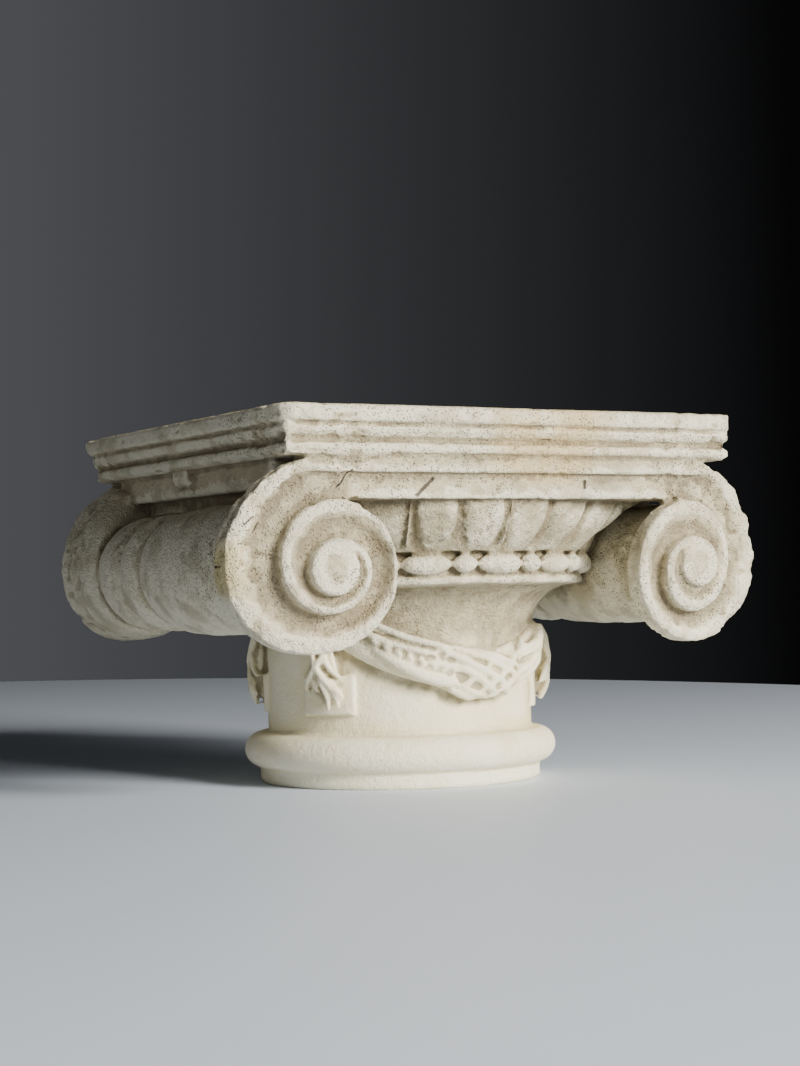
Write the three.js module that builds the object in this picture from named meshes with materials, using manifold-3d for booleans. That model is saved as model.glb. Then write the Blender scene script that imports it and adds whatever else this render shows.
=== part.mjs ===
// Ionic capital, cast in one piece: abacus, canalis, four volutes joined by two bolsters, egg and
// bead bands, garlanded neck, torus and base fillet. Millimetres, +Z up, origin under the middle.
// X runs along the front face and the front looks towards -Y.
import * as THREE from 'three';
import { mergeVertices } from 'three/addons/utils/BufferGeometryUtils.js';
import Module from 'manifold-3d';

const wasm = await Module();
wasm.setup();

// Whole height, and the heights of the courses; the plain neck takes up what they leave
const capitalHeight = 142.5;
const baseFilletHeight = 6.3;
const torusHeight = 14;
const flareHeight = 22;
const neckingHeight = 3.4;
const beadCourseHeight = 9;
const eggCourseHeight = 19.1;
const canalisHeight = 9.2;
const bandHeight = 5.7;
const abacusHeight = 18.3;

const abacusBottom = capitalHeight - abacusHeight;
const bandBottom = abacusBottom - bandHeight;
const canalisBottom = bandBottom - canalisHeight;
const eggBottom = canalisBottom - eggCourseHeight;
const beadBottom = eggBottom - beadCourseHeight;
const neckingBottom = beadBottom - neckingHeight;
const flareBottom = neckingBottom - flareHeight;
const torusBottom = baseFilletHeight;
const neckBottom = torusBottom + torusHeight;

// Radii of the turned courses
const neckRadius = 53.5;
const baseFilletRadius = 57;
const baseFilletRounding = 2;
const torusRadius = 63.1;
const torusTurn = 25;
const neckingRadius = 75.5;
const beadCoreRadius = 74;
const eggCoreFoot = 78;
const eggCoreRadius = 85;
const turnedSides = 32;

// Abacus and the block under it
const abacusWidth = 200;
const abacusDepth = 196;
const cornerRadius = 3;
const wallInset = 9;
const bandInset = 5;
const canalisInset = 7.5;
const canalisLap = 2.3;
const canalisLip = 0.4;
const wallUndercut = 4.5;
const wallLength = 144;
const lugWidth = 14;
const lugCentre = 4.6;
const lugProud = 3;
const lugNotch = 1.5;

// Volutes: the reach is from the eye out to the side of the whorl
const voluteReach = 38;
const backVoluteShare = 0.88;
const eyeRadius = 8.5;
const eyeInset = 20.7;
const eyeProud = 1.2;
const channelDepth = 4.2;
const innerChannelDepth = 2.4;
const filletRounding = 0.8;
const rimThickness = 9;
const rimStep = 1.2;
const faceSlope = 0.28;
const outwardLean = 0.15;
const downwardLean = 0.12;
const whorlSteps = 20;
// Outer edge of the whorl at each quarter turn, from the top outwards, as shares of the reach
const quarterShares = [1.066, 1, 0.785, 0.7, 0.66, 0.54, 0.42, 0.39, 0.3, 0.25];
const filletShare = 0.24;

// Bolsters: they run from the front volutes to the back ones, and are not quite the same each way
const bolsterRadius = 24.8;
const bolsterX = 88;
const bolsterRise = 1.5;
const bolsterTaper = 0.12;
const bolsterFullest = -20;
const bolsterStations = [-66, -20, 5, 11, 17, 24, 29, 35, 45, 50.5, 56, 66];
const grooveHalfWidth = 3.4;
const waistPlaces = [11, 29, 50.5];
const waistDepths = [4.4, 2.4, 4.4];

// Egg band: its top spreads away from a circle towards the volutes
const eggCount = 8;
const eggPitch = 13.2;
const eggSpread = 14;
const eggProud = 3.6;
const dartProud = 3.2;
const grooveProud = 0.4;
const eggPlaces = [0, 0.14, 0.34, 0.66, 0.86];
const eggLevels = [0, 0.13, 0.4, 0.8, 1];
const eggNarrowing = 0.35;
const bedding = 2;

// Bead and reel band, in whole pairs round the neck
const beadPairs = 16;
const beadsShown = 4;
const beadPhase = 1.3;
const longBeadHalfLength = 8.6;
const smallBeadHalfLength = 4.5;
const beadHalfHeight = 3.9;
const beadProud = 6.2;
const beadStations = [-0.98, -0.6, 0.6, 0.98];
const beadTurns = [-70, -25, 25, 70];

// Garlands, front and back, and the tails that hang between them
const garlandLow = 43;
const garlandRise = 24;
const garlandReach = 58.5;
const garlandHalfHeight = 9.4;
const garlandProud = 8.2;
const garlandEndShare = 0.5;
const garlandSteps = 22;
const leafDepth = 0.16;
const tailPlace = 60;
const tailHalfWidth = 10.5;
const tailProud = 8.5;
const tailTop = 63.7;
const tailFoot = 29.6;
const tailLevels = [1, 0.83, 0.6, 0.42, 0.25, 0.1, 0];
const tailWidths = [0.45, 0.7, 0.8, 0.95, 0.85, 1, 0.6];
const tailFray = 0.12;
const tabletHalfWidth = 11.5;
const tabletFoot = 28.5;
const tabletTop = 43.7;
const tabletProud = 2;

const plaster = new THREE.MeshStandardMaterial({ color: 0xe6dfcf, roughness: 0.9, metalness: 0 });
const degrees = Math.PI / 180;

// A closed mesh as a solid, turned the right way round
function solidOf(geometry) {
  geometry.deleteAttribute('normal');
  geometry.deleteAttribute('uv');
  const merged = mergeVertices(geometry, 1e-4);
  const places = merged.getAttribute('position').array;
  const corners = merged.getIndex().array;
  const kept = [];
  let volume = 0;
  for (let i = 0; i < corners.length; i += 3) {
    const [a, b, c] = [corners[i], corners[i + 1], corners[i + 2]];
    if (a === b || b === c || c === a) continue;
    kept.push(a, b, c);
    const [pa, pb, pc] = [a, b, c].map((v) => new THREE.Vector3().fromArray(places, v * 3));
    volume += pa.dot(pb.cross(pc));
  }
  if (volume < 0) kept.reverse();
  return new wasm.Manifold(new wasm.Mesh({
    numProp: 3,
    vertProperties: new Float32Array(places),
    triVerts: new Uint32Array(kept),
  }));
}

// A solid through rings of points, closed at both ends by a fan from the ring's middle
function loft(rings) {
  const count = rings[0].length;
  const points = rings.flat();
  const middle = (ring) => ring.reduce((sum, p) => sum.add(p), new THREE.Vector3()).divideScalar(count);
  const first = points.push(middle(rings[0])) - 1;
  const last = points.push(middle(rings[rings.length - 1])) - 1;
  const faces = [];
  for (let r = 0; r < rings.length - 1; r++) {
    for (let i = 0; i < count; i++) {
      const [a, b] = [r * count + i, r * count + ((i + 1) % count)];
      faces.push(a, b, b + count, a, b + count, a + count);
    }
  }
  const top = (rings.length - 1) * count;
  for (let i = 0; i < count; i++) {
    const next = (i + 1) % count;
    faces.push(first, next, i, last, top + i, top + next);
  }
  const geometry = new THREE.BufferGeometry().setFromPoints(points);
  geometry.setIndex(faces);
  return solidOf(geometry);
}

// A point of the relief: along an arc at this radius from the front, outwards, and up
function aroundNeck(angle, radius, height) {
  return new THREE.Vector3(radius * Math.sin(angle * degrees), -radius * Math.cos(angle * degrees), height);
}

function ellipse(t, halfWidth, halfHeight) {
  return [halfWidth * Math.cos(t), halfHeight * Math.sin(t)];
}

// Base fillet, torus, neck, flare, necking and the cores of the bead and egg bands
function turnedCore() {
  const profile = [[0, 0], [baseFilletRadius - baseFilletRounding, 0], [baseFilletRadius, baseFilletRounding],
    [baseFilletRadius, torusBottom]];
  const torusHalf = torusHeight / 2;
  for (let t = -3 * torusTurn; t <= 3 * torusTurn; t += torusTurn) {
    const [out, up] = ellipse(t * degrees, torusHalf, torusHalf);
    profile.push([torusRadius - torusHalf + out, torusBottom + torusHalf + up]);
  }
  profile.push([neckRadius, neckBottom]);
  for (const u of [0, 0.35, 0.6, 0.8, 0.93, 1]) {
    const out = (neckingRadius - 1 - neckRadius) * (1 - Math.sqrt(1 - u * u));
    profile.push([neckRadius + out, flareBottom + flareHeight * u]);
  }
  profile.push([neckingRadius, neckingBottom + 1], [neckingRadius, beadBottom], [beadCoreRadius, beadBottom]);
  profile.push([beadCoreRadius, eggBottom]);
  for (const u of [0, 0.3, 0.65, 1]) {
    const out = (eggCoreRadius - eggCoreFoot) * Math.sin(u * Math.PI / 2);
    profile.push([eggCoreFoot + out, eggBottom + eggCourseHeight * u]);
  }
  profile.push([eggCoreRadius, bandBottom], [0, bandBottom]);
  const lathe = new THREE.LatheGeometry(profile.map(([r, z]) => new THREE.Vector2(r, z)), turnedSides);
  lathe.rotateX(Math.PI / 2);
  return solidOf(lathe);
}

// A ring of the abacus: a rectangle with round corners, set in from the faces
function squareRing(inset, height) {
  const ring = [];
  const [halfX, halfY] = [abacusWidth / 2 - inset - cornerRadius, abacusDepth / 2 - inset - cornerRadius];
  for (const [sx, sy, start] of [[1, -1, -90], [1, 1, 0], [-1, 1, 90], [-1, -1, 180]]) {
    for (const turn of [0, 45, 90]) {
      const [x, y] = ellipse((start + turn) * degrees, cornerRadius, cornerRadius);
      ring.push(new THREE.Vector3(sx * halfX + x, sy * halfY + y, height));
    }
  }
  return ring;
}

function abacus() {
  // Inset and height above the abacus's foot: cavetto, roll, quirk, cyma, groove and fascia
  const profile = [[5.6, 0], [4, 1], [2.8, 3.2], [3.4, 5], [4.8, 6], [3.6, 7], [1.4, 9.6], [1.7, 11.3],
    [0.3, 12.3], [0, 16], [2, abacusHeight]];
  return loft(profile.map(([inset, up]) => squareRing(inset, abacusBottom + up)));
}

function box(width, depth, height, x, y, z) {
  return solidOf(new THREE.BoxGeometry(width, depth, height).translate(x, y, z + height / 2));
}

// The block between the volutes: a sunk canalis, a proud band over it, the side walls and their lugs
function canalisBlock() {
  const overlap = 1;
  const voluteSpan = abacusWidth - 2 * eyeInset + 2 * canalisLap;
  const canalisFoot = canalisBottom - canalisLip;
  const canalisBlockHeight = bandBottom + overlap - canalisFoot;
  const canalis = box(voluteSpan, abacusDepth - 2 * canalisInset, canalisBlockHeight, 0, 0, canalisFoot);
  const band = box(voluteSpan, abacusDepth - 2 * bandInset, bandHeight + overlap, 0, 0, bandBottom);
  const wallBottom = canalisBottom + wallUndercut;
  const wallWidth = abacusWidth - 2 * wallInset;
  const wallHeight = abacusBottom + overlap - wallBottom;
  const wall = box(wallWidth, wallLength, wallHeight, 0, 0, wallBottom);
  const lugWall = wallWidth + 2 * lugProud;
  const lugHalf = (abacusBottom - wallBottom - lugNotch) / 2;
  const upperLug = box(lugWall, lugWidth, lugHalf + overlap, 0, lugCentre, abacusBottom - lugHalf);
  const lowerLug = box(lugWall, lugWidth, lugHalf, 0, lugCentre, wallBottom);
  return [canalis, band, wall, upperLug, lowerLug];
}

const whorlKnots = quarterShares.map((share, i) => new THREE.Vector2(i, share * voluteReach));
const whorlCurve = new THREE.SplineCurve(whorlKnots);
const whorlTop = quarterShares[0] * voluteReach;
const eyeHeight = abacusBottom - whorlTop;
const eyeX = abacusWidth / 2 - eyeInset;
const eyeY = abacusDepth / 2;

// Outer edge of the whorl after this many turns from the top, outwards, down to the eye
function whorlRadius(turns) {
  const quarter = Math.min(turns * 4, quarterShares.length - 1);
  return Math.max(whorlCurve.getPoint(quarter / (quarterShares.length - 1)).y, eyeRadius);
}

// A point of the right-hand front volute, turned from the top outwards. Its face is a cone round
// the eye that leans outwards and down; back is how far the point lies behind that face.
function volutePoint(turns, radius, back) {
  const angle = 2 * Math.PI * turns;
  const slope = faceSlope + outwardLean * Math.sin(angle) - downwardLean * Math.cos(angle);
  const fall = slope * Math.max(radius - eyeRadius, 0);
  const [out, up] = [radius * Math.sin(angle), radius * Math.cos(angle)];
  return new THREE.Vector3(eyeX + out, fall + back - eyeY, eyeHeight + up);
}

// Across the whorl at one place: the fillet's two edges, the channel's two edges
function whorlSection(turns) {
  const outer = whorlRadius(turns);
  const pastTop = THREE.MathUtils.smoothstep(turns, 0, 0.25);
  const width = THREE.MathUtils.lerp(bandHeight, outer * filletShare, pastTop);
  const inner = outer - width;
  const next = whorlRadius(turns + 1);
  const depth = THREE.MathUtils.lerp(channelDepth, innerChannelDepth, Math.min(turns, 1));
  return [volutePoint(turns, outer, filletRounding), volutePoint(turns, inner, 0),
    volutePoint(turns, Math.max(inner - filletRounding, next), depth), volutePoint(turns, next, depth)];
}

// One volute's face: a strip that follows the whorl for two turns, then a fan over the eye.
// Its outline is one turn of the outer edge and the step at the top, which the canalis hides.
function voluteFace() {
  const stripTurns = 2;
  const points = [];
  const faces = [];
  const rows = [];
  for (let step = 0; step <= (stripTurns + 1) * whorlSteps; step++) {
    const section = whorlSection(step / whorlSteps);
    const kept = step <= stripTurns * whorlSteps ? section : section.slice(0, 1);
    rows.push(kept.map((p) => points.push(p) - 1));
  }
  const quad = (a, b, c, d) => faces.push(a, b, c, a, c, d);
  for (let step = 0; step < stripTurns * whorlSteps; step++) {
    const [here, next] = [rows[step], rows[step + 1]];
    quad(here[0], next[0], next[1], here[1]);
    quad(here[1], next[1], next[2], here[2]);
    quad(here[2], next[2], next[3], here[3]);
    quad(here[3], next[3], rows[step + 1 + whorlSteps][0], rows[step + whorlSteps][0]);
  }
  const eye = points.push(volutePoint(0, 0, -eyeProud)) - 1;
  const lastRow = rows[stripTurns * whorlSteps];
  const eyeLoop = rows.slice(stripTurns * whorlSteps).map((row) => row[0]);
  eyeLoop.push(lastRow[3], lastRow[2], lastRow[1], lastRow[0]);
  eyeLoop.slice(1).forEach((corner, i) => faces.push(eye, eyeLoop[i], corner));
  const outline = rows.slice(0, whorlSteps + 1).map((row) => row[0]);
  outline.push(rows[0][3], rows[0][2], rows[0][1]);
  return { points, faces, outline };
}

// The same outline, drawn in and set further back
function rimRing(inset, back) {
  return outlinePlaces().map(([turns, radius]) => volutePoint(turns, radius - inset, back));
}

// Turn and radius of each corner of the outline
function outlinePlaces() {
  const turns = Array.from({ length: whorlSteps + 1 }, (_, i) => i / whorlSteps);
  const places = turns.map((turn) => [turn, whorlRadius(turn)]);
  const [top, next] = [whorlTop, whorlRadius(1)];
  return [...places, ...[0, 0.4, 0.8].map((share) => [1, THREE.MathUtils.lerp(next, top, share)])];
}

// The bolster's waists are narrow grooves round a long swelling roll, a little above the eyes
function bolsterRing(y) {
  const roll = 1 - bolsterTaper * (1 - Math.cos(Math.PI * (y - bolsterFullest) / abacusDepth)) / 2;
  const waist = waistPlaces.reduce((sum, place, i) => {
    const away = (y - place) / grooveHalfWidth;
    return sum + waistDepths[i] * Math.exp(-away * away);
  }, 0);
  const radius = bolsterRadius * roll - waist;
  return outlinePlaces().map(([turns]) => {
    const angle = 2 * Math.PI * turns;
    const up = bolsterRise + radius * Math.cos(angle);
    return new THREE.Vector3(bolsterX + radius * Math.sin(angle), y, eyeHeight + up);
  });
}

// The same point on the back volute, which is drawn in round its eye except where it meets the band
function backVolutePoint(front) {
  const [out, up] = [front.x - eyeX, front.z - eyeHeight];
  const towardsTop = Math.max(up, 0) ** 4 / Math.max(Math.hypot(out, up), eyeRadius) ** 4;
  const share = THREE.MathUtils.lerp(backVoluteShare, 1, towardsTop);
  return new THREE.Vector3(eyeX + out * share, -front.y, eyeHeight + up * share);
}

// One side: front volute, bolster and back volute as one solid
function voluteAndBolster() {
  const { points, faces, outline } = voluteFace();
  const count = points.length;
  points.push(...points.map(backVolutePoint));
  for (let i = faces.length - 3; i >= 0; i -= 3) {
    faces.push(faces[i + 2] + count, faces[i + 1] + count, faces[i] + count);
  }
  const rimFront = rimRing(0, channelDepth + rimStep);
  const rimBack = rimRing(rimThickness * 0.7, rimThickness * 1.4);
  const rim = [rimFront, rimRing(0, rimThickness), rimBack];
  const backRim = rim.map((ring) => ring.map(backVolutePoint)).reverse();
  const loops = [outline];
  for (const ring of [...rim, ...bolsterStations.map(bolsterRing), ...backRim]) {
    loops.push(ring.map((p) => points.push(p) - 1));
  }
  loops.push(outline.map((corner) => corner + count));
  for (let r = 0; r < loops.length - 1; r++) {
    outline.forEach((_, i) => {
      const next = (i + 1) % outline.length;
      const [a, b, c, d] = [loops[r][next], loops[r][i], loops[r + 1][i], loops[r + 1][next]];
      faces.push(a, b, c, a, c, d);
    });
  }
  const geometry = new THREE.BufferGeometry().setFromPoints(points);
  geometry.setIndex(faces);
  return solidOf(geometry);
}

const eggCore = (share) => eggCoreFoot + (eggCoreRadius - eggCoreFoot) * Math.sin(share * Math.PI / 2);

// Worn eggs with a thin dart standing between each two, over one face
function eggBand(face) {
  const half = eggCount / 2;
  const columns = Array.from({ length: eggCount * eggPlaces.length + 1 }, (_, i) => {
    const kind = i % eggPlaces.length;
    const egg = Math.floor(i / eggPlaces.length) - half;
    const place = eggPlaces[kind];
    const spread = eggSpread * ((egg + place) / half) ** 2;
    const outer = eggLevels.map((up) => {
      const fullness = Math.sqrt(1 - (1 - up) ** 2);
      const proudBy = { dart: dartProud * up, groove: grooveProud, egg: eggProud * fullness };
      const proud = proudBy[['dart', 'groove', 'egg', 'egg', 'groove'][kind]];
      const narrowed = kind === 0 ? 0 : 0.5 + (place - 0.5) * (1 - eggNarrowing * (1 - up) ** 2);
      const radius = eggCore(up) + proud + spread * up;
      const height = eggBottom + eggCourseHeight * up + (up === 1 ? bedding : 0);
      return aroundNeck(face + (egg + narrowed) * eggPitch, radius, height);
    });
    const root = [1, 0].map((up) => aroundNeck(face + (egg + place) * eggPitch, eggCore(up) - bedding,
      eggBottom + eggCourseHeight * up));
    return [...outer, ...root];
  });
  return loft(columns);
}

// Long and small beads by turns, over one face, between the bolsters
function beadBand(face) {
  const middle = beadBottom + beadCourseHeight / 2;
  const centre = beadCoreRadius + beadProud - beadHalfHeight;
  const pitch = 360 / beadPairs;
  const columns = [];
  for (let bead = -beadsShown; bead <= beadsShown; bead++) {
    const halfLength = bead % 2 === 0 ? longBeadHalfLength : smallBeadHalfLength;
    for (const place of beadStations) {
      const half = beadHalfHeight * Math.sqrt(1 - place * place);
      const angle = face + beadPhase + bead * pitch / 2 + place * halfLength / centre / degrees;
      const outer = beadTurns.map((t) => aroundNeck(angle, centre + half * Math.cos(t * degrees),
        middle + half * Math.sin(t * degrees)));
      const root = [half, -half].map((up) => aroundNeck(angle, beadCoreRadius - bedding, middle + up));
      columns.push([...outer, ...root]);
    }
  }
  return loft(columns);
}

// A garland of overlapping leaves, hung in a curve over one face of the neck
function garland(face) {
  const sides = 10;
  const rings = [];
  for (let step = 0; step <= garlandSteps; step++) {
    const across = 2 * step / garlandSteps - 1;
    const middle = garlandLow + garlandRise * across * across;
    const size = THREE.MathUtils.lerp(1, garlandEndShare, across * across);
    rings.push(Array.from({ length: sides }, (_, i) => {
      const t = 2 * Math.PI * i / sides;
      const leaf = 1 + leafDepth * Math.cos(3 * t + 2.4 * step);
      const [up, out] = ellipse(t, garlandHalfHeight * size * leaf, garlandProud * size * leaf);
      const drift = up * across * 0.7;
      return aroundNeck(face + across * garlandReach + drift, neckRadius + out, middle + up);
    }));
  }
  return loft(rings);
}

// A frayed tail of cords that hangs down to a flat tablet
function tail(angle) {
  const sides = 10;
  const rings = tailLevels.map((level, step) => Array.from({ length: sides }, (_, i) => {
    const t = 2 * Math.PI * i / sides;
    const size = tailWidths[step] * (1 + tailFray * Math.cos(4 * t + 2 * step));
    const [along, out] = ellipse(t, tailHalfWidth * size, tailProud * size);
    const height = THREE.MathUtils.lerp(tailFoot, tailTop, level);
    return aroundNeck(angle + along / neckRadius / degrees, neckRadius + out, height);
  }));
  return loft(rings);
}

function tablet(angle) {
  const spans = [-1, -0.5, 0, 0.5, 1];
  const halfAngle = tabletHalfWidth / neckRadius / degrees;
  const corners = [[-bedding, tabletFoot], [tabletProud, tabletFoot], [tabletProud, tabletTop],
    [-bedding, tabletTop]];
  const rings = spans.map((span) => corners.map(([out, height]) => {
    return aroundNeck(angle + span * halfAngle, neckRadius + out, height);
  }));
  return loft(rings);
}

function neckRelief() {
  const hung = [-tailPlace, tailPlace, 180 - tailPlace, 180 + tailPlace];
  return [garland(0), garland(180), ...hung.map(tail), ...hung.map(tablet)];
}

const mirrorX = (solid) => solid.mirror([1, 0, 0]);

const carved = [turnedCore(), abacus(), ...canalisBlock(), voluteAndBolster(), mirrorX(voluteAndBolster()),
  eggBand(0), eggBand(180), beadBand(0), beadBand(180), ...neckRelief()];
const whole = carved.reduce((sum, solid) => sum.add(solid));

const cast = whole.getMesh();
const surface = new THREE.BufferGeometry();
surface.setAttribute('position', new THREE.BufferAttribute(cast.vertProperties, 3));
surface.setIndex(new THREE.BufferAttribute(cast.triVerts, 1));
surface.computeVertexNormals();

const capital = new THREE.Mesh(surface, plaster);
capital.name = 'capital';

const part = new THREE.Group();
part.add(capital);
export default part;
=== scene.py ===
import math
import random

import bpy
import numpy as np
from mathutils import Matrix, Vector


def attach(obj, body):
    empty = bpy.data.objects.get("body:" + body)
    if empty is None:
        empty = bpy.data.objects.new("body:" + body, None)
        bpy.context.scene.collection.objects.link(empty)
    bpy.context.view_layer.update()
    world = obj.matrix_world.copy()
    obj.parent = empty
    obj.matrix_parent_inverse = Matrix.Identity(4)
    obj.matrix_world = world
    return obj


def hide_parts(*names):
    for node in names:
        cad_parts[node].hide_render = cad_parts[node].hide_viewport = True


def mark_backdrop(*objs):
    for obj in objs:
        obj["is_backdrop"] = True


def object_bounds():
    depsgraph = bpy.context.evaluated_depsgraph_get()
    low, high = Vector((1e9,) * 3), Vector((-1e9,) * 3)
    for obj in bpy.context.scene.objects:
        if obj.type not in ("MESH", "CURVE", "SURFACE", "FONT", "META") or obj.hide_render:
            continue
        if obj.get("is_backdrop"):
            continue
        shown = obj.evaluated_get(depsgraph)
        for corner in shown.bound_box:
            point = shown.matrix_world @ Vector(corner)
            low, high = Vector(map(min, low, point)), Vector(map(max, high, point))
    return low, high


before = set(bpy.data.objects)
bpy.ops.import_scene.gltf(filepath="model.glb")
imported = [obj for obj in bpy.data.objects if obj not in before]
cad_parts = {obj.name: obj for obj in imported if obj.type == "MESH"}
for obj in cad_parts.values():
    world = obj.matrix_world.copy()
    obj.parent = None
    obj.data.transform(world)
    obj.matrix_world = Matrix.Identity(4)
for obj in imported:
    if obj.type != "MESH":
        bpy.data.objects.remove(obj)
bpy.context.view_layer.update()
mm = 0.001


# helpers: a primitive is added, then its points are pushed into place

def pushPoints(obj, place):
    points = np.empty(len(obj.data.vertices) * 3, dtype=np.float32)
    obj.data.vertices.foreach_get("co", points)
    u, v, w = points.reshape(-1, 3).T.astype(float)
    moved = np.stack([np.broadcast_to(axis, u.shape) for axis in place(u, v, w)], axis=1) * mm
    obj.data.vertices.foreach_set("co", moved.astype(np.float32).ravel())
    obj.data.update()


def slab(name, across, up, place):
    # flat grid, extruded once: w is 0 on the root side and 1 on the carved side
    bpy.ops.mesh.primitive_grid_add(x_subdivisions=across, y_subdivisions=up, size=2)
    obj = bpy.context.object
    obj.name = name
    bpy.ops.object.mode_set(mode="EDIT")
    bpy.ops.mesh.select_all(action="SELECT")
    bpy.ops.mesh.extrude_region_move(TRANSFORM_OT_translate={"value": (0, 0, 1)})
    bpy.ops.object.mode_set(mode="OBJECT")
    pushPoints(obj, place)
    closeUp(obj)
    return obj


def tube(name, around, along, place):
    # grid rolled up: u goes round from -1 to 1, v runs along it
    bpy.ops.mesh.primitive_grid_add(x_subdivisions=around, y_subdivisions=along, size=2)
    obj = bpy.context.object
    obj.name = name
    pushPoints(obj, place)
    closeUp(obj)
    return obj


def closeUp(obj):
    bpy.ops.object.mode_set(mode="EDIT")
    bpy.ops.mesh.select_all(action="SELECT")
    bpy.ops.mesh.remove_doubles(threshold=0.00001)
    bpy.ops.mesh.fill_holes(sides=0)
    bpy.ops.mesh.select_all(action="SELECT")
    bpy.ops.mesh.normals_make_consistent(inside=False)
    bpy.ops.mesh.select_all(action="DESELECT")
    bpy.ops.object.mode_set(mode="OBJECT")


def eased(values, place):
    # smooth curve through evenly spaced values
    last = len(values) - 1
    place = np.clip(place, 0, last)
    i = np.minimum(place.astype(int), last - 1)
    t = place - i
    padded = np.array([values[0], *values, values[-1]], dtype=float)
    a, b, c, d = padded[i], padded[i + 1], padded[i + 2], padded[i + 3]
    return 0.5 * (2 * b + (c - a) * t + (2 * a - 5 * b + 4 * c - d) * t**2 + (3 * b - a - 3 * c + d) * t**3)


def smooth(low, high, x):
    t = np.clip((x - low) / (high - low), 0, 1)
    return t * t * (3 - 2 * t)


def blobs(points, size, seed):
    # soft noise, -1 to 1, for an array of points in mm
    table = np.random.default_rng(seed).uniform(-1, 1, (32, 32, 32))
    p = points / size + seed * 3.7
    base = np.floor(p).astype(int)
    t = p - base
    t = t * t * (3 - 2 * t)
    total = 0
    for dx in (0, 1):
        for dy in (0, 1):
            for dz in (0, 1):
                share = (t[:, 0] if dx else 1 - t[:, 0]) * (t[:, 1] if dy else 1 - t[:, 1])
                share = share * (t[:, 2] if dz else 1 - t[:, 2])
                cell = (base + (dx, dy, dz)) % 32
                total = total + share * table[cell[:, 0], cell[:, 1], cell[:, 2]]
    return total


def onDrum(angle, radius, height):
    turn = np.radians(angle)
    return radius * np.sin(turn), -radius * np.cos(turn), height


# turned core: fillet, torus, neck, flare, necking, bead and egg beds

core = {"neck": 53.5, "torus": 63.1, "fillet": 57.0, "necking": 75.5, "bead": 74.0,
        "eggFoot": 78.0, "eggTop": 85.0, "torusFrom": 6.3, "neckFrom": 20.3, "flareFrom": 55.8,
        "neckingFrom": 77.8, "beadFrom": 81.2, "eggFrom": 90.2, "eggHeight": 19.1, "blockTo": 118.5,
        "torusHalf": 7, "flareOut": 21, "flareUp": 22}


def eggBed(share):
    return core["eggFoot"] + (core["eggTop"] - core["eggFoot"]) * np.sin(np.clip(share, 0, 1) * math.pi / 2)


profile = [(0, 0), (core["fillet"] - 2, 0), (core["fillet"] - 0.6, 0.6), (core["fillet"], 2),
           (core["fillet"], core["torusFrom"] - 0.4)]
for t in np.radians(np.arange(-78, 79, 6)):
    roll = core["torusHalf"]
    profile.append((core["torus"] - roll + roll * math.cos(t), core["torusFrom"] + roll + roll * math.sin(t)))
profile.append((core["neck"] + 0.8, core["neckFrom"] + 0.2))
profile.append((core["neck"], core["neckFrom"] + 1))
for u in np.linspace(0, 1, 24):
    flared = core["neck"] + core["flareOut"] * (1 - math.sqrt(1 - u * u))
    profile.append((flared, core["flareFrom"] + core["flareUp"] * u))
profile += [(core["necking"], core["neckingFrom"] + 0.6), (core["necking"], core["beadFrom"] - 0.5),
            (core["necking"] - 0.6, core["beadFrom"]), (core["bead"], core["beadFrom"]),
            (core["bead"], core["eggFrom"])]
for u in np.linspace(0, 1, 12):
    profile.append((float(eggBed(u)), core["eggFrom"] + core["eggHeight"] * u))
profile += [(core["eggTop"], core["blockTo"]), (0, core["blockTo"])]
profile = np.array(profile)
walked = np.concatenate([[0], np.cumsum(np.hypot(*np.diff(profile, axis=0).T))])


def turnedPlace(u, v, w):
    along = (v + 1) / 2 * walked[-1]
    return onDrum(u * 180, np.interp(along, walked, profile[:, 0]), np.interp(along, walked, profile[:, 1]))


parts = [tube("turnedCore", 300, 420, turnedPlace)]

# abacus: square with soft corners, moulded edge

abacus = {"width": 200.0, "depth": 196.0, "corner": 2.6, "foot": 124.2}
# how far in and how far up, from the foot of the abacus to its top
abacusEdge = np.array([(9, 0), (6.4, 0), (5.0, 0.7), (3.5, 1.3), (3.0, 2.2), (3.0, 3.6), (3.6, 4.6), (5.6, 5.2),
                       (5.3, 6.1), (3.4, 7.0), (2.0, 8.8), (1.6, 10.0), (2.0, 10.5), (3.2, 10.9), (3.2, 11.3),
                       (0.8, 11.8), (0.2, 12.4), (0, 13), (0, 16.6), (0.5, 17.6), (2, 18.3), (9, 18.3)])
edgeWalked = np.concatenate([[0], np.cumsum(np.hypot(*np.diff(abacusEdge, axis=0).T))])


def roundSquare(turn, inset, width, depth, corner):
    # turn from 0 to 1 round a rectangle with rounded corners, by length
    halfX, halfY = width / 2 - corner, depth / 2 - corner
    quarter = corner * math.pi / 2
    marks = np.cumsum([0, 2 * halfX, quarter, 2 * halfY, quarter, 2 * halfX, quarter, 2 * halfY, quarter])
    s = (turn % 1) * marks[-1]
    x, y = np.zeros_like(s), np.zeros_like(s)
    corners = [(halfX, -halfY, -90), (halfX, halfY, 0), (-halfX, halfY, 90), (-halfX, -halfY, 180)]
    for side in range(4):
        cx, cy, start = corners[side]
        px, py, _ = corners[side - 1]
        a = math.radians(start)
        run = (s >= marks[2 * side]) & (s < marks[2 * side + 1])
        t = (s - marks[2 * side]) / (marks[2 * side + 1] - marks[2 * side])
        off = corner - inset
        x = np.where(run, px + (cx - px) * t + off * math.cos(a), x)
        y = np.where(run, py + (cy - py) * t + off * math.sin(a), y)
        bend = (s >= marks[2 * side + 1]) & (s <= marks[2 * side + 2])
        t = (s - marks[2 * side + 1]) / quarter
        x = np.where(bend, cx + off * np.cos(a + t * math.pi / 2), x)
        y = np.where(bend, cy + off * np.sin(a + t * math.pi / 2), y)
    return x, y


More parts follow.
